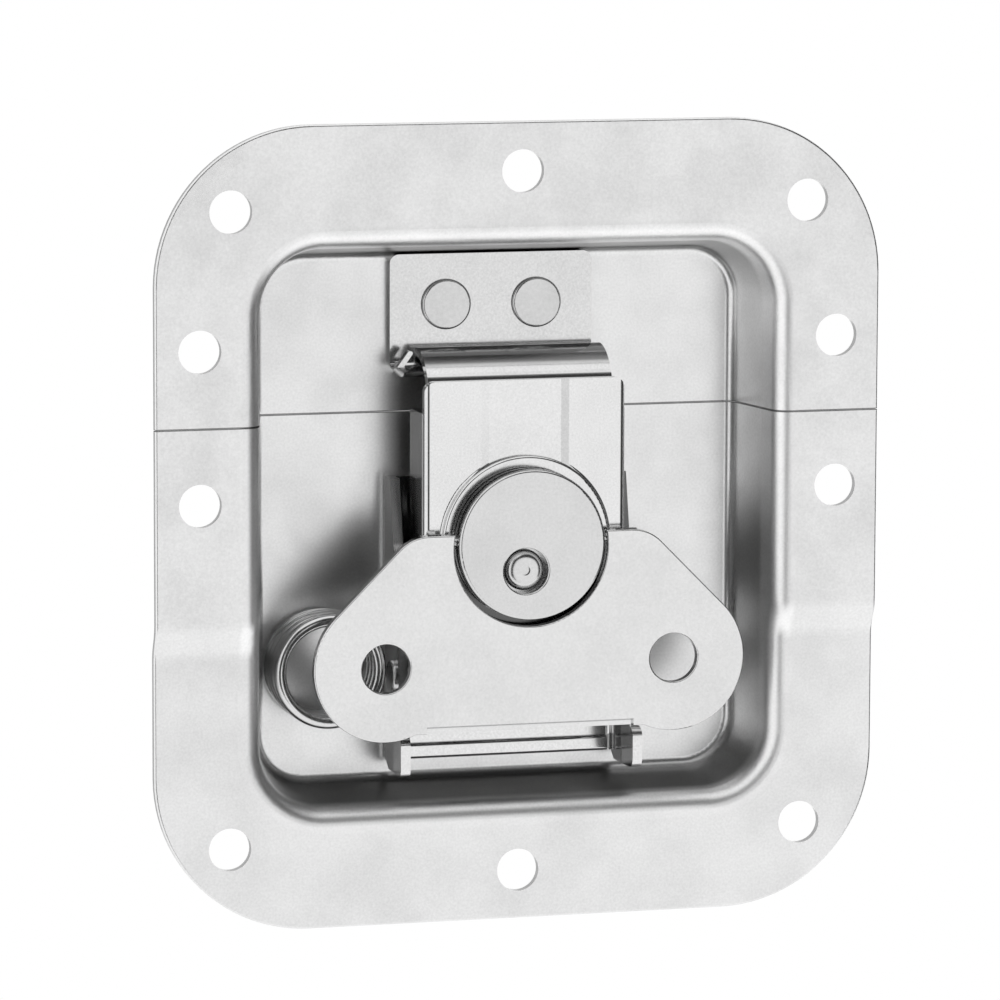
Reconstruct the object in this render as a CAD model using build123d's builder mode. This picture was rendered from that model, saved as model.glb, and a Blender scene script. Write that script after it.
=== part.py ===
from build123d import *
import math
import os

# Recessed butterfly latch: a pressed dish in two halves, a keeper on the upper
# half and, on the lower half, a swinging cover plate that carries the eccentric
# spindle, the hook plate and the folding butterfly handle.
# Frame: X right, Y into the case, Z up. The origin is on the parting line of the
# two halves, on the centre line, in the flange's mounting (back) face.

# Dish, a drawn steel sheet
sheet = 1.2
dish_width = 104.0
dish_top = 41.4
dish_bottom = -70.6
dish_corner = 22.0
recess_width = 74.6
recess_top = 24.7
recess_bottom = -54.5
recess_corner = 9.5
recess_depth = 13.8
draft = 10.0
lip_radius = 2.5
floor_radius = 1.4
flange_edge = 0.3
parting_gap = 0.15
joggle_start = -28.0
joggle_run = 3.2
joggle_depth = 1.5
joggle_radius = 5.0

# Screw holes in the flange
screw_hole_radius = 3.0
side_hole_inset = 6.27
side_hole_z = 10.6
corner_hole_inset = 10.65
corner_hole_drop = 11.72
centre_hole_drop = 6.86

# Keeper plate, riveted to the upper floor, with a J at its lower edge
keeper_sheet = 1.4
keeper_reach = 3.25
keeper_shortfall = 0.55
keeper_headroom = 0.12
keeper_relief = 1.1
keeper_corner = 1.3
keeper_foot = 5.2
keeper_gap = 2.8
keeper_bend = 0.6
keeper_lip_top = 7.4
keeper_ear_top = 9.0
keeper_ear_slant = 1.6
keeper_ear_width = 0.9
keeper_rivet_pitch = 13.1
keeper_rivet_z = 15.05
keeper_rivet_head_radius = 3.55
keeper_rivet_head = 0.6

# Rivets through the floor
rivet_shank_radius = 1.8
rivet_tail_radius = 2.7
rivet_tail = 1.0

# Cover plate, a channel that carries the spindle
mechanism_x = 0.8
cover_sheet = 1.5
cover_width = 29.2
cover_front = 0.0
cover_top = 5.4
cover_top_step = 0.2
cover_bottom = -43.0
cover_corner = 1.5
cover_flange_top = 1.0
cover_flange_back = 7.5
cover_bend = 1.0
swage_half_width = 5.2
swage_depth = 0.15
swage_slope = 1.1
collar_height = 0.8
collar_wall = 1.5
collar_foot = 0.35
collar_rim = 0.4

# Spindle: drum and cap in one turned piece, with the crank rivet off its centre
spindle_z = -17.2
spindle_radius = 10.5
spindle_front = -4.0
running_clearance = 0.08
cap_thickness = 1.1
waist_radius = 9.6
waist_length = 0.9
crank_x = -0.9
crank_z = -3.6
crank_radius = 1.8
crank_head_radius = 2.9
crank_head = 1.5
crank_dome = 1.3
crank_dimple = 0.7
crank_bore_radius = 3.2
crank_bore_depth = 2.0
crank_tail_radius = 2.6
crank_tail = 0.5
spigot_radius = 8.0
keep_washer_gap = 0.7
keep_washer_thickness = 0.8
crank_washer_radius = 4.2
crank_washer_thickness = 0.8
free_gap = 0.3

# Hook plate, sliding behind the cover
hook_sheet = 1.2
hook_side_gap = 0.4
hook_crown_extra = 0.6
hook_crown_start = 2.2
hook_bottom = -27.5
hook_shoulder = 5.3
hook_brow_y = 5.1
hook_brow = 8.95
hook_crown = 9.55
hook_bends = (2.0, 7.0, 2.0)
hook_tip_gap = 0.3
hook_leg_back = 10.9
slot_below = 1.5
slot_above = 0.35

# Base bracket on the lower floor
bracket_sheet = 1.4
bracket_top = -9.0
bracket_bottom = -50.2
bracket_base_rise = 1.0
bracket_bar = 2.2
bracket_bar_height = 0.8
cheek_gap = 1.2
cheek_brow = 8.6
cheek_front = 4.0
cheek_ramp_end = -30.0
cheek_step_start = -40.0
ear_root = 5.6
ear_front = 1.0
ear_top = -44.4
ear_flare = 0.35
ear_corner = 1.4
swing_pin_radius = 1.5
swing_pin_y = 5.9
swing_pin_z = -36.5
swing_head_radius = 2.4
swing_head = 0.8
bracket_rivet_inset = 6.0
bracket_rivet_z = (-14.5, -41.5)
bracket_rivet_head_radius = 3.0
bracket_rivet_head = 0.9

# Butterfly handle, folded flat
handle_sheet = 1.2
handle_front = -3.3
wing_hole_x = 20.75
wing_hole_z = -16.7
wing_radius = 10.3
wing_hole_radius = 3.45
wing_top = 1.6
shoulder_x = 14.6
shoulder_radius = 6.0
notch_radius = 11.05
notch_drop = 0.45
hinge_rise = 0.5
knuckle_radius = 1.2
knuckle_gap = 0.5
knuckle_length = 2.9
handle_edge = 0.2
hem_rise = 0.9
hem_depth = 1.6
hem_bend = 1.0
hem_inset = 1.6
hem_blend = 3.0
handle_pin_radius = 0.6
knuckle_clearance = 0.06

# Torsion spring beside the bracket
wire_radius = 0.9
spring_gap = 1.3
spring_wall_gap = 0.8
spring_z = -35.2
coil_turns = 3.5
coil_pitch = 1.95
leg_rise = 2.3
leg_drop = 2.0
leg_gap = 0.4
leg_bend = 2.2

# Places worked out from the values above
floor_y = recess_depth - sheet
dish_back = floor_y + sheet
spread = math.tan(math.radians(draft))
wall_offset = sheet / math.cos(math.radians(draft))
side_hole_x = dish_width / 2 - side_hole_inset
corner_hole_x = dish_width / 2 - corner_hole_inset
top_corner_hole_z = dish_top - corner_hole_drop
bottom_corner_hole_z = dish_bottom + corner_hole_drop
top_centre_hole_z = dish_top - centre_hole_drop
bottom_centre_hole_z = dish_bottom + centre_hole_drop
recess_mid = (recess_top + recess_bottom) / 2
recess_height = recess_top - recess_bottom
dish_height = dish_top - dish_bottom
dish_mid = (dish_top + dish_bottom) / 2
joggle_end = joggle_start - joggle_run
keeper_face = floor_y - keeper_sheet
keeper_top = recess_top - (floor_y + sheet) * spread - keeper_headroom
keeper_lip_back = keeper_face - keeper_gap
cover_back = cover_front + cover_sheet
collar_bore = spindle_radius + running_clearance
collar_radius = collar_bore + collar_wall
collar_front = cover_front - collar_height
washer_front = cover_back + running_clearance
washer_back = washer_front + keep_washer_thickness
keep_washer_radius = cover_width / 2 - cover_sheet - keep_washer_gap
hook_front = washer_back + free_gap
hook_back = hook_front + hook_sheet
hook_width = cover_width - 2 * (cover_sheet + hook_side_gap)
hook_crown_width = hook_width + 2 * hook_crown_extra
hook_tip = keeper_foot + keeper_sheet + hook_tip_gap
keeper_left = mechanism_x - hook_crown_width / 2 - keeper_reach
keeper_right = mechanism_x + hook_crown_width / 2 - keeper_shortfall
keeper_x = (keeper_left + keeper_right) / 2
keeper_rivet_x = (keeper_x - keeper_rivet_pitch / 2, keeper_x + keeper_rivet_pitch / 2)
slot_reach = math.sqrt(crank_x * crank_x + crank_z * crank_z) + 0.05
tail_washer_front = hook_back + free_gap
tail_washer_back = tail_washer_front + crank_washer_thickness
bracket_face = floor_y - bracket_sheet
cheek_inner = cover_width / 2 + cheek_gap
cheek_outer = cheek_inner + bracket_sheet
bracket_rivet_x = cheek_inner - bracket_rivet_inset
bracket_base_bottom = bracket_bottom + bracket_base_rise
knuckle_start = collar_radius + knuckle_gap
knuckle_end = knuckle_start + knuckle_length
handle_back = handle_front + handle_sheet
hinge_y = handle_front + knuckle_radius
handle_bottom = spindle_z + wing_hole_z - wing_radius
hem_z = handle_bottom + hem_rise
hinge_z = spindle_z + hinge_rise
spindle_spot = (mechanism_x, spindle_z)
crank_spot = (mechanism_x + crank_x, spindle_z + crank_z)


def face_plane(y):
    """Plane facing the front at depth y, with X across and Z up."""
    return Plane.XZ.offset(-y)


def side_plane(x):
    """Plane facing right at x, with Y across and Z up."""
    return Plane.YZ.offset(x)


def write(piece, name):
    piece.part.label = name
    export_step(piece.part, "parts/" + name + ".step")


os.makedirs("parts", exist_ok=True)


def recess_outline(y, grow):
    """Rounded outline of the recess at depth y, larger all round by grow."""
    inset = (y + sheet) * spread
    with BuildSketch(face_plane(y)) as outline:
        with Locations((0, recess_mid)):
            RectangleRounded(
                recess_width + 2 * (grow - inset),
                recess_height + 2 * (grow - inset),
                recess_corner + grow - inset,
            )
    return outline.sketch


def joggled_skin(y, reach):
    """Side line at depth y that steps back below the joggle."""
    FilletPolyline(
        (y, dish_top + reach),
        (y, joggle_start),
        (y + joggle_depth, joggle_end),
        (y + joggle_depth, dish_bottom - reach),
        radius=joggle_radius,
    )


def joggled_block(back):
    """Block from the front skin of the flange back to the depth given."""
    reach = 5.0
    with BuildPart() as block:
        with BuildSketch(side_plane(-dish_width / 2 - reach)):
            with BuildLine():
                joggled_skin(-sheet, reach)
                Line((joggle_depth - sheet, dish_bottom - reach), (joggle_depth + back, dish_bottom - reach))
                joggled_skin(back, reach)
                Line((back, dish_top + reach), (-sheet, dish_top + reach))
            make_face()
        extrude(amount=dish_width + 2 * reach)
    return block.part


# Dish, drawn whole and then parted
flange_block = joggled_block(0)
whole_block = joggled_block(dish_back + sheet)

with BuildPart() as tub:
    loft([recess_outline(-sheet, wall_offset), recess_outline(dish_back, wall_offset)], ruled=True)
    fillet(tub.faces().sort_by(Axis.Y)[-1].edges(), radius=floor_radius + sheet)
    add(whole_block, mode=Mode.INTERSECT)

with BuildPart() as hollow:
    loft([recess_outline(-2 * sheet, 0), recess_outline(floor_y, 0)], ruled=True)
    fillet(hollow.faces().sort_by(Axis.Y)[-1].edges(), radius=floor_radius)


def on_lip(edge, y, grow):
    """True for an edge that runs round the mouth of the recess near depth y."""
    spot = edge @ 0.5
    inside = abs(spot.X) < recess_width / 2 + grow + 0.2
    between = recess_bottom - grow - 0.2 < spot.Z < recess_top + grow + 0.2
    return inside and between and y - 0.05 < spot.Y < y + joggle_depth + 0.05


def on_outline(edge):
    """True for a front edge of the flange's outer outline."""
    spot = edge @ 0.5
    depth = -sheet if spot.Z > joggle_start + 0.5 else joggle_depth - sheet
    outside = abs(spot.X) > recess_width / 2 + 6 or spot.Z > recess_top + 6 or spot.Z < recess_bottom - 6
    stepping = joggle_end - 1.5 < spot.Z < joggle_start + 1.5
    return outside and (abs(spot.Y - depth) < 0.02 or stepping) and not stepping


with BuildPart() as dish:
    with BuildSketch(face_plane(dish_back)) as blank:
        with Locations((0, dish_mid)):
            RectangleRounded(dish_width, dish_height, dish_corner)
    extrude(amount=dish_back + 3 * sheet)
    add(flange_block, mode=Mode.INTERSECT)
    add(tub.part)
    add(hollow.part, mode=Mode.SUBTRACT)
    fillet(dish.edges().filter_by(lambda edge: on_lip(edge, -sheet, 0)), radius=lip_radius)
    fillet(dish.edges().filter_by(on_outline), radius=flange_edge)
    with BuildSketch(face_plane(dish_back)):
        for height in (side_hole_z, -side_hole_z):
            with Locations((side_hole_x, height), (-side_hole_x, height)):
                Circle(screw_hole_radius)
        for height in (top_corner_hole_z, bottom_corner_hole_z):
            with Locations((corner_hole_x, height), (-corner_hole_x, height)):
                Circle(screw_hole_radius)
        with Locations((0, top_centre_hole_z), (0, bottom_centre_hole_z)):
            Circle(screw_hole_radius)
    extrude(amount=dish_back + 3 * sheet, mode=Mode.SUBTRACT)
    with BuildSketch(face_plane(dish_back + sheet)):
        for along in keeper_rivet_x:
            with Locations((along, keeper_rivet_z)):
                Circle(rivet_shank_radius)
        for height in bracket_rivet_z:
            with Locations(
                (mechanism_x - bracket_rivet_x, height),
                (mechanism_x + bracket_rivet_x, height),
            ):
                Circle(rivet_shank_radius)
    extrude(amount=3 * sheet, mode=Mode.SUBTRACT)

with BuildPart() as dish_upper:
    add(dish.part)
    split(bisect_by=Plane.XY.offset(parting_gap / 2), keep=Keep.TOP)
write(dish_upper, "dish_upper")

with BuildPart() as dish_lower:
    add(dish.part)
    split(bisect_by=Plane.XY.offset(-parting_gap / 2), keep=Keep.BOTTOM)
write(dish_lower, "dish_lower")


def side_sheet(x, width, outside, inside, outer_bends, inner_bends):
    """Bent sheet drawn from the side, its two skins given point by point."""
    with BuildPart() as strip:
        with BuildSketch(side_plane(x - width / 2)):
            with BuildLine():
                FilletPolyline(*outside, radius=outer_bends)
                Line(outside[-1], inside[-1])
                FilletPolyline(*inside, radius=inner_bends)
                Line(inside[0], outside[0])
            make_face()
        extrude(amount=width)
    return strip.part


# Keeper plate with its J edge and a small slanted ear at the left end of the lip
with BuildPart() as keeper_plate:
    add(
        side_sheet(
            keeper_x,
            keeper_right - keeper_left,
            (
                (floor_y, keeper_top),
                (floor_y, keeper_foot),
                (keeper_lip_back - keeper_sheet, keeper_foot),
                (keeper_lip_back - keeper_sheet, keeper_lip_top),
            ),
            (
                (keeper_face, keeper_top),
                (keeper_face, keeper_foot + keeper_sheet),
                (keeper_lip_back, keeper_foot + keeper_sheet),
                (keeper_lip_back, keeper_lip_top),
            ),
            keeper_bend + keeper_sheet,
            keeper_bend,
        )
    )
    across = keeper_plate.edges().filter_by(Axis.Y)
    fillet(across.filter_by(lambda edge: (edge @ 0.5).Z > keeper_top - 0.1), radius=keeper_corner)
    relieved = keeper_plate.edges().filter_by(Axis.X).filter_by(
        lambda edge: (edge @ 0.5).Z > keeper_top - 0.1 and (edge @ 0.5).Y > floor_y - 0.1
    )
    chamfer(relieved, length=keeper_relief)
    with BuildSketch(face_plane(keeper_lip_back)):
        with BuildLine():
            Polyline(
                (keeper_left, keeper_lip_top - 0.6),
                (keeper_left + keeper_ear_slant, keeper_ear_top),
                (keeper_left + keeper_ear_slant + keeper_ear_width, keeper_ear_top),
                (keeper_left + keeper_ear_width, keeper_lip_top - 0.6),
                close=True,
            )
        make_face()
    extrude(amount=keeper_sheet)
    sharp = keeper_plate.edges().filter_by(Axis.Y).filter_by(
        lambda edge: (edge @ 0.5).Y < keeper_lip_back and (edge @ 0.5).Z > keeper_ear_top - 0.1
    )
    fillet(sharp, radius=0.3)
    with BuildSketch(face_plane(floor_y)):
        for along in keeper_rivet_x:
            with Locations((along, keeper_rivet_z)):
                Circle(rivet_shank_radius)
    extrude(amount=keeper_sheet, mode=Mode.SUBTRACT)
write(keeper_plate, "keeper_plate")


def floor_rivet(x, z, seat, head_radius, head, name):
    """Rivet whose head sits on the plane at depth seat and tail behind the floor."""
    with BuildPart() as rivet:
        with BuildSketch(face_plane(seat)):
            with Locations((x, z)):
                Circle(head_radius)
        extrude(amount=head)
        fillet(rivet.edges().group_by(Axis.Y)[0], radius=head * 0.6)
        with BuildSketch(face_plane(dish_back)):
            with Locations((x, z)):
                Circle(rivet_shank_radius)
        extrude(amount=dish_back - seat)
        with BuildSketch(face_plane(dish_back + rivet_tail)):
            with Locations((x, z)):
                Circle(rivet_tail_radius)
        extrude(amount=rivet_tail)
        fillet(rivet.edges().group_by(Axis.Y)[-1], radius=rivet_tail * 0.4)
    write(rivet, name)


for side, along in zip(("left", "right"), keeper_rivet_x):
    floor_rivet(
        along,
        keeper_rivet_z,
        keeper_face,
        keeper_rivet_head_radius,
        keeper_rivet_head,
        "keeper_rivet_" + side,
    )
for level, height in zip(("upper", "lower"), bracket_rivet_z):
    for side, step in (("left", -bracket_rivet_x), ("right", bracket_rivet_x)):
        floor_rivet(
            mechanism_x + step,
            height,
            bracket_face,
            bracket_rivet_head_radius,
            bracket_rivet_head,
            "bracket_rivet_" + level + "_" + side,
        )

# Base bracket, a channel whose cheeks carry the swing pin
with BuildPart() as base_bracket:
    with BuildSketch(side_plane(mechanism_x - cheek_outer)) as cheek_side:
        with BuildLine():
            Polyline(
                (floor_y, bracket_top),
                (cheek_brow, bracket_top),
                (cheek_front, cheek_ramp_end),
                (cheek_front, cheek_step_start),
                (ear_root, ear_top),
                (ear_root, bracket_bottom),
                (bracket_face - 2.0, bracket_bottom),
                (bracket_face - 0.6, bracket_base_bottom),
                (floor_y, bracket_base_bottom),
                close=True,
            )
        make_face()
        nose = cheek_side.vertices().filter_by(
            lambda corner: corner.Y < ear_root - 0.1 and corner.Z < cheek_ramp_end + 0.1
        )
        fillet(nose, radius=ear_corner)
        brow = cheek_side.vertices().filter_by(
            lambda corner: abs(corner.Y - cheek_brow) < 0.01 and corner.Z > bracket_top - 0.01
        )
        fillet(brow, radius=ear_corner / 2)
    extrude(amount=2 * cheek_outer)
    with BuildSketch(Plane.XY.offset(bracket_bottom - 1)):
        with Locations((mechanism_x, (bracket_face - 10.0) / 2)):
            Rectangle(2 * cheek_inner, bracket_face + 10.0)
    extrude(amount=bracket_top - bracket_bottom + 2, mode=Mode.SUBTRACT)
    for side in (-1, 1):
        with BuildSketch(Plane.XY.offset(bracket_bottom)):
            with BuildLine():
                Polyline(
                    (mechanism_x + side * cheek_inner, ear_root + 0.8),
                    (mechanism_x + side * (cheek_inner + ear_flare), ear_front),
                    (mechanism_x + side * (cheek_outer + ear_flare), ear_front),
                    (mechanism_x + side * cheek_outer, ear_root + 0.8),
                    close=True,
                )
            make_face()
        extrude(amount=ear_top - bracket_bottom)
    ear_noses = base_bracket.edges().filter_by(Axis.X).filter_by(
        lambda edge: abs((edge @ 0.5).Y - ear_front) < 0.01
    )
    fillet(ear_noses, radius=ear_corner)
    with BuildSketch(face_plane(bracket_face)):
        with Locations((mechanism_x, bracket_base_bottom + bracket_bar / 2)):
            Rectangle(2 * cheek_inner - 1.4, bracket_bar)
    extrude(amount=bracket_bar_height)
    bar_edges = base_bracket.faces().filter_by(
        lambda face: abs(face.center().Y - bracket_face + bracket_bar_height) < 0.01
    ).edges().filter_by(Axis.X)
    fillet(bar_edges, radius=bracket_bar_height * 0.6)
    inner_roots = base_bracket.edges().filter_by(Axis.Z).filter_by(
        lambda edge: abs((edge @ 0.5).Y - bracket_face) < 0.01
        and abs(abs((edge @ 0.5).X - mechanism_x) - cheek_inner) < 0.01
    )
    fillet(inner_roots, radius=0.6)
    outer_roots = base_bracket.edges().filter_by(Axis.Z).filter_by(
        lambda edge: abs((edge @ 0.5).Y - floor_y) < 0.01
        and abs(abs((edge @ 0.5).X - mechanism_x) - cheek_outer) < 0.01
    )
    fillet(outer_roots, radius=1.4)
    with BuildSketch(side_plane(mechanism_x - cheek_outer)):
        with Locations((swing_pin_y, swing_pin_z)):
            Circle(swing_pin_radius)
    extrude(amount=2 * cheek_outer, mode=Mode.SUBTRACT)
    with BuildSketch(face_plane(floor_y)):
        for height in bracket_rivet_z:
            with Locations(
                (mechanism_x - bracket_rivet_x, height),
                (mechanism_x + bracket_rivet_x, height),
            ):
                Circle(rivet_shank_radius)
    extrude(amount=bracket_sheet, mode=Mode.SUBTRACT)
write(base_bracket, "base_bracket")

# Swing pin through both cheeks and both cover flanges
with BuildPart() as swing_pin:
    for start, length, radius in (
        (-cheek_outer - swing_head, swing_head, swing_head_radius),
        (-cheek_outer, 2 * cheek_outer, swing_pin_radius),
        (cheek_outer, swing_head, swing_head_radius),
    ):
        with BuildSketch(side_plane(mechanism_x + start)):
            with Locations((swing_pin_y, swing_pin_z)):
                Circle(radius)
        extrude(amount=length)
    rims = swing_pin.edges().group_by(Axis.X)
    fillet(rims[0] + rims[-1], radius=swing_head * 0.6)
write(swing_pin, "swing_pin")

# Cover plate, flat at its top and flanged below, with a drawn collar
with BuildPart() as cover_plate:
    with BuildSketch(Plane.XY.offset(cover_bottom)):
        with Locations((mechanism_x, (cover_front + cover_flange_back) / 2)):
            Rectangle(cover_width, cover_flange_back - cover_front)
    extrude(amount=cover_top - cover_bottom)
    ridge = cover_plate.edges().filter_by(Axis.Z).filter_by(
        lambda edge: (edge @ 0.5).Y < cover_front + 0.01
    )
    fillet(ridge, radius=cover_bend)
    with BuildSketch(Plane.XY.offset(cover_bottom - 1)):
        with Locations((mechanism_x, (cover_back + cover_flange_back + 5) / 2)):
            Rectangle(cover_width - 2 * cover_sheet, cover_flange_back + 5 - cover_back)
    extrude(amount=cover_top - cover_bottom + 2, mode=Mode.SUBTRACT)
    with BuildSketch(side_plane(mechanism_x - cover_width)):
        with BuildLine():
            Polyline(
                (cover_back, cover_top + 1),
                (cover_flange_back + 1, cover_top + 1),
                (cover_flange_back + 1, cover_flange_top),
                (cover_back, cover_flange_top),
                close=True,
            )
        make_face()
    extrude(amount=2 * cover_width, mode=Mode.SUBTRACT)
    spare = cover_sheet + cover_top
    for side in (-1, 1):
        with BuildSketch(face_plane(cover_back)):
            trimmed_x = mechanism_x + side * (cover_width - cover_top_step)
            with Locations((trimmed_x, cover_flange_top + spare / 2)):
                Rectangle(cover_width, spare)
        extrude(amount=cover_back - cover_front, mode=Mode.SUBTRACT)
    top_corners = cover_plate.edges().filter_by(Axis.Y).filter_by(
        lambda edge: (edge @ 0.5).Z > cover_top - 0.01
    )
    fillet(top_corners, radius=cover_corner)
    with BuildSketch(Plane.XY.offset(spindle_z)):
        with BuildLine():
            Polyline(
                (mechanism_x - swage_half_width - swage_slope, cover_front - swage_depth),
                (mechanism_x - swage_half_width - swage_slope, cover_front),
                (mechanism_x - swage_half_width, cover_front + swage_depth),
                (mechanism_x + swage_half_width, cover_front + swage_depth),
                (mechanism_x + swage_half_width + swage_slope, cover_front),
                (mechanism_x + swage_half_width + swage_slope, cover_front - swage_depth),
                close=True,
            )
        make_face()
    extrude(amount=cover_top - spindle_z, mode=Mode.SUBTRACT)
    with BuildSketch(face_plane(cover_front + swage_depth)):
        with Locations(spindle_spot):
            Circle(collar_radius)
    extrude(amount=collar_height + swage_depth)
    foot = cover_plate.edges().filter_by(GeomType.CIRCLE).filter_by(
        lambda edge: abs((edge @ 0.5).Y - cover_front) < 0.01 and abs(edge.radius - collar_radius) < 0.01
    )
    fillet(foot, radius=collar_foot)
    with BuildSketch(face_plane(cover_back + 1)):
        with Locations(spindle_spot):
            Circle(collar_bore)
    extrude(amount=cover_back + 1 - collar_front + 1, mode=Mode.SUBTRACT)
    rim = cover_plate.edges().filter_by(GeomType.CIRCLE).filter_by(
        lambda edge: abs((edge @ 0.5).Y - collar_front) < 0.01 and abs(edge.radius - collar_radius) < 0.01
    )
    fillet(rim, radius=collar_rim)
    with BuildSketch(side_plane(mechanism_x - cover_width)):
        with Locations((swing_pin_y, swing_pin_z)):
            Circle(swing_pin_radius + running_clearance)
    extrude(amount=2 * cover_width, mode=Mode.SUBTRACT)
write(cover_plate, "cover_plate")

# Spindle: cap, waist, drum and riveting spigot in one piece
with BuildPart() as spindle:
    for back, length, radius in (
        (washer_back, washer_back - washer_front, spigot_radius),
        (washer_front, washer_front - spindle_front - cap_thickness - waist_length, spindle_radius),
        (spindle_front + cap_thickness + waist_length, waist_length, waist_radius),
        (spindle_front + cap_thickness, cap_thickness, spindle_radius),
    ):
        with BuildSketch(face_plane(back)):
            with Locations(spindle_spot):
                Circle(radius)
        extrude(amount=length)
    fillet(spindle.edges().group_by(Axis.Y)[0], radius=0.4)
    with BuildSketch(face_plane(spindle_front + crank_bore_depth)):
        with Locations(crank_spot):
            Circle(crank_bore_radius)
    extrude(amount=crank_bore_depth, mode=Mode.SUBTRACT)
    bore_rim = spindle.edges().group_by(Axis.Y)[0].filter_by(
        lambda edge: edge.radius < crank_bore_radius + 0.1
    )
    fillet(bore_rim, radius=0.25)
    with BuildSketch(face_plane(washer_back)):
        with Locations(crank_spot):
            Circle(crank_radius)
    extrude(amount=washer_back - spindle_front, mode=Mode.SUBTRACT)
    with BuildSketch(side_plane(mechanism_x - spindle_radius - 1)):
        with Locations((hinge_y, hinge_z)):
            Circle(handle_pin_radius)
    extrude(amount=2 * spindle_radius + 2, mode=Mode.SUBTRACT)
write(spindle, "spindle")

# Keep washer, staked on the spigot behind the cover
with BuildPart() as keep_washer:
    with BuildSketch(face_plane(washer_back)):
        with Locations(spindle_spot):
            Circle(keep_washer_radius)
            Circle(spigot_radius, mode=Mode.SUBTRACT)
    extrude(amount=keep_washer_thickness)
write(keep_washer, "keep_washer")

# Crank rivet, set off the spindle's centre
with BuildPart() as crank_rivet:
    seat = spindle_front + crank_bore_depth
    for back, length, radius in (
        (seat, crank_head, crank_head_radius),
        (tail_washer_back, tail_washer_back - seat, crank_radius),
        (tail_washer_back + crank_tail, crank_tail, crank_tail_radius),
    ):
        with BuildSketch(face_plane(back)):
            with Locations(crank_spot):
                Circle(radius)
        extrude(amount=length)
    fillet(crank_rivet.edges().group_by(Axis.Y)[0], radius=crank_dome)
    with BuildSketch(face_plane(seat - crank_head + crank_dimple / 2)):
        with Locations(crank_spot):
            Circle(crank_dimple)
    extrude(amount=crank_dimple, mode=Mode.SUBTRACT)
write(crank_rivet, "crank_rivet")

with BuildPart() as crank_washer:
    with BuildSketch(face_plane(tail_washer_back)):
        with Locations(crank_spot):
            Circle(crank_washer_radius)
            Circle(crank_radius, mode=Mode.SUBTRACT)
    extrude(amount=crank_washer_thickness)
write(crank_washer, "crank_washer")

# Hook plate: flat body, a rounded crown bent back over the keeper's lip and a short leg
brow_angle = math.atan2(hook_brow - hook_shoulder, hook_brow_y - hook_front)
crown_angle = math.atan2(hook_crown - hook_brow, hook_leg_back - hook_brow_y)
shoulder_shift = hook_sheet * math.tan((math.pi / 2 - brow_angle) / 2)
brow_half = (brow_angle - crown_angle) / 2
brow_reach = hook_sheet / math.cos(brow_half)
brow_normal = (brow_angle + crown_angle) / 2
inner_brow_y = hook_brow_y + brow_reach * math.sin(brow_normal)
inner_brow_z = hook_brow - brow_reach * math.cos(brow_normal)
with BuildPart() as hook_plate:
    add(
        side_sheet(
            mechanism_x,
            hook_crown_width,
            (
                (hook_front, hook_bottom),
                (hook_front, hook_shoulder),
                (hook_brow_y, hook_brow),
                (hook_leg_back, hook_crown),
                (hook_leg_back, hook_tip),
            ),
            (
                (hook_back, hook_bottom),
                (hook_back, hook_shoulder - shoulder_shift),
                (inner_brow_y, inner_brow_z),
                (hook_leg_back - hook_sheet, hook_crown - hook_sheet * (1 + math.tan(crown_angle))),
                (hook_leg_back - hook_sheet, hook_tip),
            ),
            hook_bends,
            tuple(bend - hook_sheet for bend in hook_bends),
        )
    )
    for side in (-1, 1):
        with BuildSketch(face_plane(hook_back)):
            trimmed_z = (hook_crown_start + hook_bottom - hook_sheet) / 2
            with Locations((mechanism_x + side * hook_width, trimmed_z)):
                Rectangle(hook_width, hook_crown_start - hook_bottom + hook_sheet)
        extrude(amount=hook_sheet, mode=Mode.SUBTRACT)
    with BuildSketch(face_plane(hook_back)):
        with Locations((mechanism_x, crank_spot[1] + (slot_above - slot_below) / 2)):
            SlotCenterToCenter(
                2 * slot_reach + 0.1,
                2 * (crank_radius + running_clearance) + slot_above + slot_below,
            )
    extrude(amount=hook_sheet, mode=Mode.SUBTRACT)
    feet = hook_plate.edges().filter_by(Axis.Y).filter_by(
        lambda edge: (edge @ 0.5).Z < hook_bottom + 0.01
    )
    fillet(feet, radius=3.0)
write(hook_plate, "hook_plate")

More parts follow.
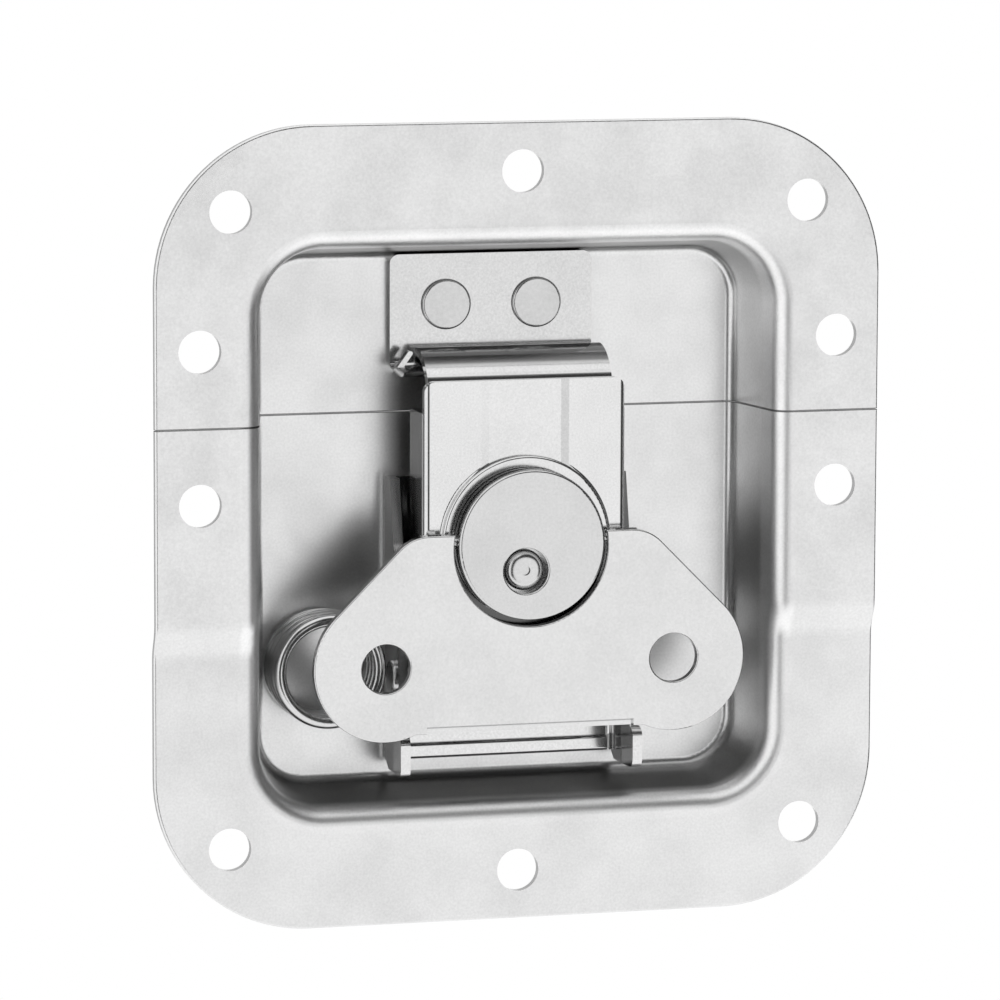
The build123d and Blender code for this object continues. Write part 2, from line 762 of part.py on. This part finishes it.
# Butterfly handle: two wings, a notch round the spindle, knuckles and a hem
with BuildPart() as handle:
    with BuildSketch(face_plane(handle_back)) as handle_outline:
        with Locations(
            (mechanism_x - wing_hole_x, spindle_z + wing_hole_z),
            (mechanism_x + wing_hole_x, spindle_z + wing_hole_z),
        ):
            Circle(wing_radius)
        with Locations(
            (mechanism_x - shoulder_x, spindle_z + wing_top - shoulder_radius),
            (mechanism_x + shoulder_x, spindle_z + wing_top - shoulder_radius),
        ):
            Circle(shoulder_radius)
        make_hull()
        with Locations((mechanism_x, hem_z - wing_radius / 2)):
            Rectangle(2 * wing_hole_x, wing_radius, mode=Mode.SUBTRACT)
        with Locations(
            (mechanism_x - wing_hole_x, spindle_z + wing_hole_z),
            (mechanism_x + wing_hole_x, spindle_z + wing_hole_z),
        ):
            Circle(wing_radius)
        kinks = handle_outline.vertices().filter_by(
            lambda corner: abs(corner.Z - hem_z) < 0.01
        )
        fillet(kinks, radius=hem_blend)
        with Locations((mechanism_x, spindle_z - notch_drop)):
            Circle(notch_radius, mode=Mode.SUBTRACT)
        with Locations(
            (mechanism_x - wing_hole_x, spindle_z + wing_hole_z),
            (mechanism_x + wing_hole_x, spindle_z + wing_hole_z),
        ):
            Circle(wing_hole_radius, mode=Mode.SUBTRACT)
    extrude(amount=handle_sheet)
    hem_edge = handle.edges().group_by(Axis.Y)[0].filter_by(Axis.X).sort_by(Axis.Z)[0]
    hem_half_width = hem_edge.length / 2 - hem_inset
    fillet(handle.edges().group_by(Axis.Y)[0], radius=handle_edge)
    with BuildSketch(face_plane(handle_back + hem_depth)):
        with Locations((mechanism_x, hem_z + handle_sheet / 2)):
            Rectangle(2 * hem_half_width, handle_sheet)
    extrude(amount=hem_depth + handle_sheet / 2)
    with BuildSketch(side_plane(mechanism_x - hem_half_width)):
        with BuildLine():
            RadiusArc((handle_front, hem_z + hem_bend), (handle_front + hem_bend, hem_z), hem_bend)
            Polyline(
                (handle_front + hem_bend, hem_z),
                (handle_front + hem_bend, hem_z - hem_bend),
                (handle_front - hem_bend, hem_z - hem_bend),
                (handle_front - hem_bend, hem_z + hem_bend),
                (handle_front, hem_z + hem_bend),
            )
        make_face()
    extrude(amount=2 * hem_half_width, mode=Mode.SUBTRACT)
    for start in (-knuckle_end, knuckle_start):
        with BuildSketch(side_plane(mechanism_x + start)):
            with Locations((hinge_y, hinge_z)):
                Circle(knuckle_radius)
        extrude(amount=knuckle_end - knuckle_start)
    with BuildSketch(side_plane(mechanism_x - knuckle_end - 1)):
        with Locations((hinge_y, hinge_z)):
            Circle(handle_pin_radius + knuckle_clearance)
    extrude(amount=2 * knuckle_end + 2, mode=Mode.SUBTRACT)
write(handle, "handle")

with BuildPart() as fold_pin:
    with BuildSketch(side_plane(mechanism_x - knuckle_end)):
        with Locations((hinge_y, hinge_z)):
            Circle(handle_pin_radius)
    extrude(amount=2 * knuckle_end)
    rims = fold_pin.edges().group_by(Axis.X)
    chamfer(rims[0] + rims[-1], length=0.15)
write(fold_pin, "fold_pin")

# Torsion spring: a close coil whose legs run on along its wire and bend against the left cheek
coil_length = coil_turns * coil_pitch
coil_left = (floor_y + sheet) * spread - recess_width / 2 + spring_wall_gap
coil_right = mechanism_x - cheek_outer - spring_gap
coil_radius = (coil_right - coil_left) / 2 - wire_radius
spring_x = (coil_left + coil_right) / 2
leg_top = spring_z + coil_radius + leg_rise
leg_bottom = spring_z - coil_radius - leg_drop
leg_x = mechanism_x - cheek_outer - leg_gap - wire_radius
leg_drift = (leg_x - spring_x) * coil_pitch / (2 * math.pi * coil_radius)
coil_front = floor_y - free_gap - wire_radius - leg_drift - coil_length
coil_plane = Plane(origin=(spring_x, coil_front, spring_z), x_dir=(0, 0, 1), z_dir=(0, 1, 0))
coil = coil_plane.location * Helix(
    pitch=coil_pitch,
    height=coil_length,
    radius=coil_radius,
    lefthand=True,
)
with BuildPart() as torsion_spring:
    with BuildSketch(Plane(origin=coil @ 0, z_dir=coil % 0)):
        Circle(wire_radius)
    sweep(path=coil)
    for begin, heading, finish_z in (
        (coil @ 0, (coil % 0) * -1, leg_top),
        (coil @ 1, coil % 1, leg_bottom),
    ):
        reach = (leg_x - begin.X) / heading.X
        rise = finish_z - begin.Z
        turn = min(leg_bend, abs(rise) - 0.2)
        leg_plane = Plane(origin=begin, x_dir=heading, z_dir=heading.cross(Vector(0, 0, 1)))
        with BuildLine(leg_plane) as leg:
            Line((0, 0), (reach - turn, 0))
            JernArc((reach - turn, 0), (1, 0), turn, math.copysign(90, rise))
            Line((reach, math.copysign(turn, rise)), (reach, rise))
        with BuildSketch(Plane(origin=begin, z_dir=heading)):
            Circle(wire_radius)
        sweep(path=leg.line)
write(torsion_spring, "torsion_spring")
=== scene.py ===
"""Recessed butterfly latch in bright plated steel: materials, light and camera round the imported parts."""

import math

import bpy
from mathutils import Matrix, Vector

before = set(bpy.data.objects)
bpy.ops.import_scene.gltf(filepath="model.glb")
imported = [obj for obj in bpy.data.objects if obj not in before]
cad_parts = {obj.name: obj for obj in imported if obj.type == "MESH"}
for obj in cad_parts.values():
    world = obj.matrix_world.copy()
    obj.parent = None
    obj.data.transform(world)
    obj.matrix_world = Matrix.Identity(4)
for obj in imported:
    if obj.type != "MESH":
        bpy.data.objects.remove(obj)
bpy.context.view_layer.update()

MM = 0.001

# Camera, solved from the screw holes and the dish outline
CAMERA_AZIMUTH = math.radians(-15.62)
CAMERA_ELEVATION = math.radians(7.77)
CAMERA_ROLL = math.radians(0.18)
CAMERA_DISTANCE = 863 * MM
CAMERA_RIGHT = 3.04 * MM
CAMERA_UP = -3.34 * MM
CAMERA_AIM = Vector((0, -1.2, -14.6)) * MM
CAMERA_LENS = 223.7
CAMERA_SENSOR = 36
CAMERA_NEAR = 10 * MM

# Finishes: tone, roughness and speckle, then grain size, wave size and wave depth in millimetres
FINISHES = {
    "bright_zinc_dish": (0.72, 0.28, 0.2, 0.35, 18, 0.06),
    "bright_zinc_plate": (0.65, 0.13, 0.16, 0.3, 12, 0.03),
    "bright_zinc_cover": (0.66, 0.13, 0.16, 0.3, 12, 0.03),
    "bright_zinc_keeper": (0.59, 0.15, 0.2, 0.3, 12, 0.04),
    "bright_zinc_handle": (0.64, 0.18, 0.12, 0.35, 20, 0.03),
    "turned_nickel": (0.59, 0.2, 0.12, 0.4, 10, 0.01),
    "plated_fastener": (0.55, 0.2, 0.12, 0.4, 10, 0.01),
    "plated_wire": (0.6, 0.16, 0.09, 0.3, 6, 0.01),
}
PART_FINISHES = {
    "dish_upper": "bright_zinc_dish",
    "dish_lower": "bright_zinc_dish",
    "keeper_plate": "bright_zinc_keeper",
    "base_bracket": "bright_zinc_plate",
    "cover_plate": "bright_zinc_cover",
    "hook_plate": "bright_zinc_plate",
    "handle": "bright_zinc_handle",
    "spindle": "turned_nickel",
    "keep_washer": "turned_nickel",
    "crank_rivet": "turned_nickel",
    "crank_washer": "turned_nickel",
    "torsion_spring": "plated_wire",
}
OTHER_PARTS_FINISH = "plated_fastener"
DRAWN_FINISH = "bright_zinc_dish"
GRAIN_DEPTH = 0.001 * MM

# Smudges: size, the noise levels between which they come up, and what they do to tone and roughness
SMUDGE_SIZE = 12 * MM
SMUDGE_LEVELS = (0.35, 0.7)
SMUDGE_DARKENING = 0.025
SMUDGE_ROUGHENING = 0.05

# Painted highlight on the recess's rolled mouth: its place, how far the highlight reaches beside and behind
# it, and how much it brightens the tone and roughens
MOUTH_HALF_WIDTH = 37.9 * MM
MOUTH_HALF_HEIGHT = 40.2 * MM
MOUTH_MIDDLE = -14.9 * MM
MOUTH_CORNER = 10.5 * MM
LIP_REACH = 2.5 * MM
LIP_FADE = (0.6, 1.0)
LIP_DEPTH = (3 * MM, 4.5 * MM)
LIP_PAINTED_HIGHLIGHT = 0.16
LIP_ROUGHENING = 0.12

# Painted shade on the recess's walls: how upright their normal is, from what depth, and the share of tone it
# takes away
WALL_UPRIGHT = (0.3, 0.85)
WALL_DEPTH = 3.7 * MM
WALL_FADE = (0.5, 1.2)
WALL_PAINTED_SHADE = 0.6

# Painted shade in the gap round the spindle and in the parting line, and the share of the tone that it takes
SPINDLE_X = 0.8 * MM
SPINDLE_Z = -17.2 * MM
GROOVE_INNER_RADIUS = 10.3 * MM
GROOVE_OUTER_RADIUS = 12.2 * MM
GROOVE_SHADE_HEIGHTS = (SPINDLE_Z - 3 * MM, SPINDLE_Z - 6 * MM)
PARTING_REACH = 0.2 * MM
PARTING_FADE = (0.5, 1.0)
GAP_SHADE_SHARE = 0.85

# White floor, in metres, and how bright it is to the camera and in the steel
FLOOR_HEIGHT = -0.45
FLOOR_HALF = 0.8
FLOOR_TONES = (0.93, 0.96)
FLOOR_MOTTLES = 3.0
FLOOR_MOTTLE_LEVELS = (0.2, 0.8)
FLOOR_ROUGHNESS = 0.9
FLOOR_GLOW = 0.75
FLOOR_WHITE = 1.08
FLOOR_SHINE = 1.25

# Studio that the steel mirrors: places of boards and flags as parts of a unit vector, and their levels
FRONT_BOARD_ACROSS = (-0.04, 0.62)
FRONT_BOARD_HIGH = (-0.5, 0.2)
LEFT_BOARD_ACROSS = (-0.4, -0.58)
BACKDROP_DEEP = (0.05, 0.3)
SHADE_DEEP = (0.8, 0.9)
SHADE_ACROSS = (-0.5, 0.5)
CEILING_HIGH = (0.7, 0.85)
CEILING_DROP = 0.22
CEILING_DROP_ACROSS = (-0.15, 0.05)
BOARD_SOFTNESS = 0.1
BOARD_LEVEL = 1.22
SHADE_LEVEL = 0.3
FLAG_LEVEL = 0.05
PLAIN_LEVEL = 0.75

LAMP_AIM = Vector((0, 0, -10)) * MM


def place_camera():
    """Puts the camera where the photograph was taken from."""
    a, e, r = CAMERA_AZIMUTH, CAMERA_ELEVATION, CAMERA_ROLL
    right = Vector((math.cos(a), math.sin(a), 0))
    up = Vector((-math.sin(a) * math.sin(e), math.cos(a) * math.sin(e), math.cos(e)))
    back = Vector((math.sin(a) * math.cos(e), -math.cos(a) * math.cos(e), math.sin(e)))
    right, up = (
        math.cos(r) * right + math.sin(r) * up,
        math.cos(r) * up - math.sin(r) * right,
    )
    eye = CAMERA_AIM + CAMERA_DISTANCE * back - CAMERA_RIGHT * right - CAMERA_UP * up
    data = bpy.data.cameras.new("camera")
    data.sensor_fit = "HORIZONTAL"
    data.sensor_width = CAMERA_SENSOR
    data.lens = CAMERA_LENS
    data.clip_start = CAMERA_NEAR
    camera = bpy.data.objects.new("camera", data)
    bpy.context.scene.collection.objects.link(camera)
    turn = Matrix((right, up, back)).transposed().to_4x4()
    camera.matrix_world = Matrix.Translation(eye) @ turn
    bpy.context.scene.camera = camera


# Shader building


def put(tree, kind, **values):
    """Adds a node and sets its properties, or its sockets where the name is a socket's."""
    node = tree.nodes.new(kind)
    for name, value in values.items():
        if hasattr(node, name):
            setattr(node, name, value)
        else:
            node.inputs[name.replace("_", " ")].default_value = value
    return node


def feed(tree, value, socket):
    """Gives a socket a number, or links another socket to it."""
    if isinstance(value, (int, float)):
        socket.default_value = value
    else:
        tree.links.new(value, socket)


def calculate(tree, operation, *values):
    """Math node on sockets or numbers; gives its output socket."""
    node = put(tree, "ShaderNodeMath", operation=operation)
    for value, socket in zip(values, node.inputs):
        feed(tree, value, socket)
    return node.outputs[0]


def add_share(tree, value, mask, share):
    """Adds a share of the mask to a value."""
    return calculate(tree, "ADD", value, calculate(tree, "MULTIPLY", mask, share))


def take_share(tree, value, mask, share):
    """Takes a share of the value away where the mask is one."""
    kept = calculate(tree, "SUBTRACT", 1.0, calculate(tree, "MULTIPLY", mask, share))
    return calculate(tree, "MULTIPLY", value, kept)


def remap(tree, value, source, target=(0.0, 1.0)):
    """Smooth map of a value from one range to another."""
    node = put(tree, "ShaderNodeMapRange", interpolation_type="SMOOTHSTEP")
    feed(tree, value, node.inputs["Value"])
    for name, number in zip(("From Min", "From Max", "To Min", "To Max"), (*source, *target)):
        node.inputs[name].default_value = number
    return node.outputs["Result"]


def window(tree, value, bounds):
    """One between the bounds, nought outside, with soft edges."""
    low, high = bounds
    rise = remap(tree, value, (low - BOARD_SOFTNESS, low + BOARD_SOFTNESS))
    fall = remap(tree, value, (high - BOARD_SOFTNESS, high + BOARD_SOFTNESS), (1.0, 0.0))
    return calculate(tree, "MULTIPLY", rise, fall)


def coordinates(tree, kind="Object"):
    """The x, y and z sockets of a texture coordinate."""
    split = put(tree, "ShaderNodeSeparateXYZ")
    feed(tree, put(tree, "ShaderNodeTexCoord").outputs[kind], split.inputs[0])
    return split.outputs


def length(tree, across, up):
    """Length of a flat vector."""
    vector = put(tree, "ShaderNodeCombineXYZ")
    feed(tree, across, vector.inputs[0])
    feed(tree, up, vector.inputs[1])
    node = put(tree, "ShaderNodeVectorMath", operation="LENGTH")
    feed(tree, vector.outputs[0], node.inputs[0])
    return node.outputs["Value"]


def noise(tree, scale, detail, roughness=0.5):
    """Noise over the object's own coordinates."""
    node = put(tree, "ShaderNodeTexNoise", Detail=detail, Roughness=roughness)
    feed(tree, put(tree, "ShaderNodeTexCoord").outputs["Object"], node.inputs["Vector"])
    feed(tree, scale, node.inputs["Scale"])
    return node.outputs["Fac"]


def sized_noise(tree, size, detail, roughness=0.5):
    """Noise whose patches have the given size."""
    return noise(tree, calculate(tree, "DIVIDE", 1.0, size), detail, roughness)


def color_grey(tree, value, socket):
    """Gives a colour socket the grey of a value."""
    color = put(tree, "ShaderNodeCombineColor")
    for channel in color.inputs:
        feed(tree, value, channel)
    feed(tree, color.outputs["Color"], socket)


def new_group(name, inputs, outputs):
    """Empty shader group with named numbers; gives the tree, its input sockets and its output sockets."""
    tree = bpy.data.node_groups.new(name, "ShaderNodeTree")
    for label, value in inputs.items():
        socket = tree.interface.new_socket(name=label, in_out="INPUT", socket_type="NodeSocketFloat")
        socket.default_value = value
    for label in outputs:
        tree.interface.new_socket(name=label, in_out="OUTPUT", socket_type="NodeSocketFloat")
    return tree, tree.nodes.new("NodeGroupInput").outputs, tree.nodes.new("NodeGroupOutput").inputs


def new_material(name):
    """Material with a plain shader; gives the material, its tree and the shader."""
    material = bpy.data.materials.new(name)
    material.use_nodes = True
    return material, material.node_tree, material.node_tree.nodes["Principled BSDF"]


# Finishes, with painted highlight and shade


def make_plate_grain():
    """Crystalline speckle of a zinc plated sheet and the shallow waves left by pressing."""
    tree, given, result = new_group(
        "plate_grain",
        {"Grain Size": MM, "Wave Size": MM, "Wave Depth": MM, "Grain Depth": GRAIN_DEPTH},
        ("Speckle", "Height"),
    )
    speckle = sized_noise(tree, given["Grain Size"], detail=3)
    waves = sized_noise(tree, given["Wave Size"], detail=1)
    height = calculate(
        tree,
        "ADD",
        calculate(tree, "MULTIPLY", speckle, given["Grain Depth"]),
        calculate(tree, "MULTIPLY", waves, given["Wave Depth"]),
    )
    feed(tree, speckle, result["Speckle"])
    feed(tree, height, result["Height"])
    return tree


def make_handling_marks():
    """Faint smudges that handling leaves on bright plating."""
    tree, given, result = new_group("handling_marks", {"Smudge Size": SMUDGE_SIZE}, ("Smudge",))
    smudges = sized_noise(tree, given["Smudge Size"], detail=5, roughness=0.6)
    feed(tree, remap(tree, smudges, SMUDGE_LEVELS), result["Smudge"])
    return tree


def make_lip_highlight():
    """Mask of the painted highlight on the rolled mouth of the recess: its distance from a rounded rectangle,
    faded over the reach.
    """
    tree, given, result = new_group("lip_highlight", {"Reach": LIP_REACH}, ("Painted Highlight",))
    x, y, z = coordinates(tree)
    beyond = []
    for value, middle, half in ((x, 0.0, MOUTH_HALF_WIDTH), (z, MOUTH_MIDDLE, MOUTH_HALF_HEIGHT)):
        offset = calculate(tree, "ABSOLUTE", calculate(tree, "SUBTRACT", value, middle))
        beyond.append(calculate(tree, "SUBTRACT", offset, half - MOUTH_CORNER))
    outside = length(tree, *(calculate(tree, "MAXIMUM", value, 0.0) for value in beyond))
    inside = calculate(tree, "MINIMUM", calculate(tree, "MAXIMUM", *beyond), 0.0)
    distance = calculate(tree, "SUBTRACT", calculate(tree, "ADD", outside, inside), MOUTH_CORNER)
    away = calculate(tree, "DIVIDE", calculate(tree, "ABSOLUTE", distance), given["Reach"])
    near = remap(tree, away, LIP_FADE, (1.0, 0.0))
    shallow = remap(tree, y, LIP_DEPTH, (1.0, 0.0))
    feed(tree, calculate(tree, "MULTIPLY", near, shallow), result["Painted Highlight"])
    return tree


def make_wall_shade():
    """Mask of the painted shade on the recess's upper and lower walls."""
    tree, given, result = new_group("wall_shade", {"Depth": WALL_DEPTH}, ("Painted Shade",))
    upright = remap(tree, calculate(tree, "ABSOLUTE", coordinates(tree, "Normal")[2]), WALL_UPRIGHT)
    sunk = calculate(tree, "DIVIDE", coordinates(tree)[1], given["Depth"])
    feed(tree, calculate(tree, "MULTIPLY", upright, remap(tree, sunk, WALL_FADE)), result["Painted Shade"])
    return tree


def make_groove_shade():
    """Mask of the painted shade in the running gap round the spindle, below its centre."""
    tree, given, result = new_group(
        "groove_shade",
        {"Inner Radius": GROOVE_INNER_RADIUS, "Outer Radius": GROOVE_OUTER_RADIUS},
        ("Gap Shade",),
    )
    x, y, z = coordinates(tree)
    radius = length(
        tree,
        calculate(tree, "SUBTRACT", x, SPINDLE_X),
        calculate(tree, "SUBTRACT", z, SPINDLE_Z),
    )
    outside = calculate(tree, "GREATER_THAN", radius, given["Inner Radius"])
    inside = calculate(tree, "LESS_THAN", radius, given["Outer Radius"])
    ring = calculate(tree, "MULTIPLY", outside, inside)
    feed(tree, calculate(tree, "MULTIPLY", ring, remap(tree, z, GROOVE_SHADE_HEIGHTS)), result["Gap Shade"])
    return tree


def make_parting_shade():
    """Mask of the painted shade along the cut edges of the dish halves and a thin band beside them."""
    tree, given, result = new_group("parting_shade", {"Reach": PARTING_REACH}, ("Gap Shade",))
    away = calculate(tree, "DIVIDE", calculate(tree, "ABSOLUTE", coordinates(tree)[2]), given["Reach"])
    feed(tree, remap(tree, away, PARTING_FADE, (1.0, 0.0)), result["Gap Shade"])
    return tree


PLATE_GRAIN = make_plate_grain()
HANDLING_MARKS = make_handling_marks()
LIP_HIGHLIGHT = make_lip_highlight()
WALL_SHADE = make_wall_shade()
GAP_SHADE = {"bright_zinc_dish": make_parting_shade(), "bright_zinc_cover": make_groove_shade()}


def plated_steel(name, tone, roughness, speckle, grain_size, wave_size, wave_depth):
    """Plated steel with grain, waves and smudges; the dish and cover also get painted shade, and the dish a
    painted highlight on its rim.
    """
    material, tree, shader = new_material(name)
    surface = put(tree, "ShaderNodeGroup", node_tree=PLATE_GRAIN)
    surface.inputs["Grain Size"].default_value = grain_size * MM
    surface.inputs["Wave Size"].default_value = wave_size * MM
    surface.inputs["Wave Depth"].default_value = wave_depth * MM
    smudge = put(tree, "ShaderNodeGroup", node_tree=HANDLING_MARKS).outputs["Smudge"]
    grain = calculate(tree, "SUBTRACT", surface.outputs["Speckle"], 0.5)
    tone = add_share(tree, tone, grain, speckle)
    tone = add_share(tree, tone, smudge, -SMUDGE_DARKENING)
    roughness = add_share(tree, roughness, smudge, SMUDGE_ROUGHENING)
    if name in GAP_SHADE:
        # Painted shade: darkens the cover in the gap round the spindle and the dish along its parting line
        gap_shade_mask = put(tree, "ShaderNodeGroup", node_tree=GAP_SHADE[name]).outputs["Gap Shade"]
        tone = take_share(tree, tone, gap_shade_mask, GAP_SHADE_SHARE)
    if name == DRAWN_FINISH:
        # Painted highlight: brightens the dish along the recess's rim, which is also made rougher
        lip_highlight_mask = put(tree, "ShaderNodeGroup", node_tree=LIP_HIGHLIGHT).outputs["Painted Highlight"]
        tone = add_share(tree, tone, lip_highlight_mask, LIP_PAINTED_HIGHLIGHT)
        roughness = add_share(tree, roughness, lip_highlight_mask, LIP_ROUGHENING)
        # Painted shade: darkens the recess's upper and lower walls
        wall_shade_mask = put(tree, "ShaderNodeGroup", node_tree=WALL_SHADE).outputs["Painted Shade"]
        tone = take_share(tree, tone, wall_shade_mask, WALL_PAINTED_SHADE)
    bump = put(tree, "ShaderNodeBump", Distance=1.0)
    feed(tree, surface.outputs["Height"], bump.inputs["Height"])
    color_grey(tree, tone, shader.inputs["Base Color"])
    shader.inputs["Metallic"].default_value = 1.0
    feed(tree, roughness, shader.inputs["Roughness"])
    feed(tree, bump.outputs["Normal"], shader.inputs["Normal"])
    return material


def dress_parts():
    """Gives every part its plated finish."""
    materials = {name: plated_steel(name, *numbers) for name, numbers in FINISHES.items()}
    for name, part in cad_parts.items():
        part.data.materials.clear()
        part.data.materials.append(materials[PART_FINISHES.get(name, OTHER_PARTS_FINISH)])


# Studio


def build_world():
    """White studio: a white room to the camera; to gloss, white boards with black flags between them."""
    world = bpy.data.worlds.new("studio")
    bpy.context.scene.world = world
    world.use_nodes = True
    tree = world.node_tree
    tree.nodes.clear()
    across, deep, high = coordinates(tree, "Generated")
    front_board = calculate(
        tree,
        "MULTIPLY",
        window(tree, across, FRONT_BOARD_ACROSS),
        window(tree, high, FRONT_BOARD_HIGH),
    )
    shade = calculate(
        tree,
        "MULTIPLY",
        remap(tree, deep, SHADE_DEEP, (0.0, 1.0 - SHADE_LEVEL)),
        window(tree, across, SHADE_ACROSS),
    )
    backdrop = calculate(tree, "SUBTRACT", remap(tree, deep, BACKDROP_DEEP), shade)
    drop = remap(tree, across, CEILING_DROP_ACROSS, (CEILING_DROP, 0.0))
    ceiling = remap(tree, calculate(tree, "ADD", high, drop), CEILING_HIGH)
    boards = calculate(tree, "MAXIMUM", front_board, backdrop)
    boards = calculate(tree, "MAXIMUM", boards, ceiling)
    boards = calculate(tree, "MAXIMUM", boards, remap(tree, across, LEFT_BOARD_ACROSS))
    room = put(tree, "ShaderNodeMapRange", To_Min=FLAG_LEVEL, To_Max=BOARD_LEVEL)
    feed(tree, boards, room.inputs["Value"])
    path = put(tree, "ShaderNodeLightPath")
    gloss = path.outputs["Is Glossy Ray"]
    mirrored = calculate(tree, "MULTIPLY", room.outputs["Result"], gloss)
    level = add_share(tree, mirrored, calculate(tree, "SUBTRACT", 1.0, gloss), PLAIN_LEVEL)
    level = calculate(tree, "MAXIMUM", level, path.outputs["Is Camera Ray"])
    level = calculate(tree, "MAXIMUM", level, path.outputs["Is Transmission Ray"])
    background = put(tree, "ShaderNodeBackground", Color=(1, 1, 1, 1))
    feed(tree, level, background.inputs["Strength"])
    output = put(tree, "ShaderNodeOutputWorld")
    feed(tree, background.outputs[0], output.inputs["Surface"])


def softbox(name, place, width, height, power):
    """Rectangular soft lamp that faces the latch and isn't mirrored in it."""
    data = bpy.data.lights.new(name, "AREA")
    data.shape = "RECTANGLE"
    data.size = width
    data.size_y = height
    data.energy = power
    lamp = bpy.data.objects.new(name, data)
    lamp.location = place
    lamp.rotation_euler = (LAMP_AIM - Vector(place)).to_track_quat("-Z", "Y").to_euler()
    lamp.visible_glossy = False
    bpy.context.scene.collection.objects.link(lamp)


def build_floor():
    """Plain white floor, well below the latch; the camera sees it white but for the shadow."""
    mesh = bpy.data.meshes.new("floor")
    signs = ((-1, -1), (1, -1), (1, 1), (-1, 1))
    corners = [(x * FLOOR_HALF, y * FLOOR_HALF, FLOOR_HEIGHT) for x, y in signs]
    mesh.from_pydata(corners, [], [(0, 1, 2, 3)])
    floor = bpy.data.objects.new("floor", mesh)
    bpy.context.scene.collection.objects.link(floor)
    material, tree, shader = new_material("floor_white")
    shader.inputs["Roughness"].default_value = FLOOR_ROUGHNESS
    mottles = noise(tree, FLOOR_MOTTLES, detail=4, roughness=0.55)
    tone = remap(tree, mottles, FLOOR_MOTTLE_LEVELS, FLOOR_TONES)
    color_grey(tree, tone, shader.inputs["Base Color"])
    path = put(tree, "ShaderNodeLightPath")
    gloss = path.outputs["Is Glossy Ray"]
    glow = put(tree, "ShaderNodeEmission")
    feed(tree, add_share(tree, FLOOR_WHITE, gloss, FLOOR_SHINE - 1.0), glow.inputs["Strength"])
    seen = calculate(tree, "MAXIMUM", path.outputs["Is Camera Ray"], gloss)
    mix = put(tree, "ShaderNodeMixShader")
    feed(tree, calculate(tree, "MULTIPLY", seen, FLOOR_GLOW), mix.inputs[0])
    feed(tree, shader.outputs[0], mix.inputs[1])
    feed(tree, glow.outputs[0], mix.inputs[2])
    feed(tree, mix.outputs[0], tree.nodes["Material Output"].inputs["Surface"])
    mesh.materials.append(material)


place_camera()
dress_parts()
build_world()
build_floor()
softbox("key_lamp", (-0.45, -0.7, 0.75), width=0.5, height=0.5, power=5)
softbox("fill_lamp", (0.8, -0.8, 0.3), width=0.5, height=0.8, power=3)

bpy.context.scene.view_settings.view_transform = "Standard"
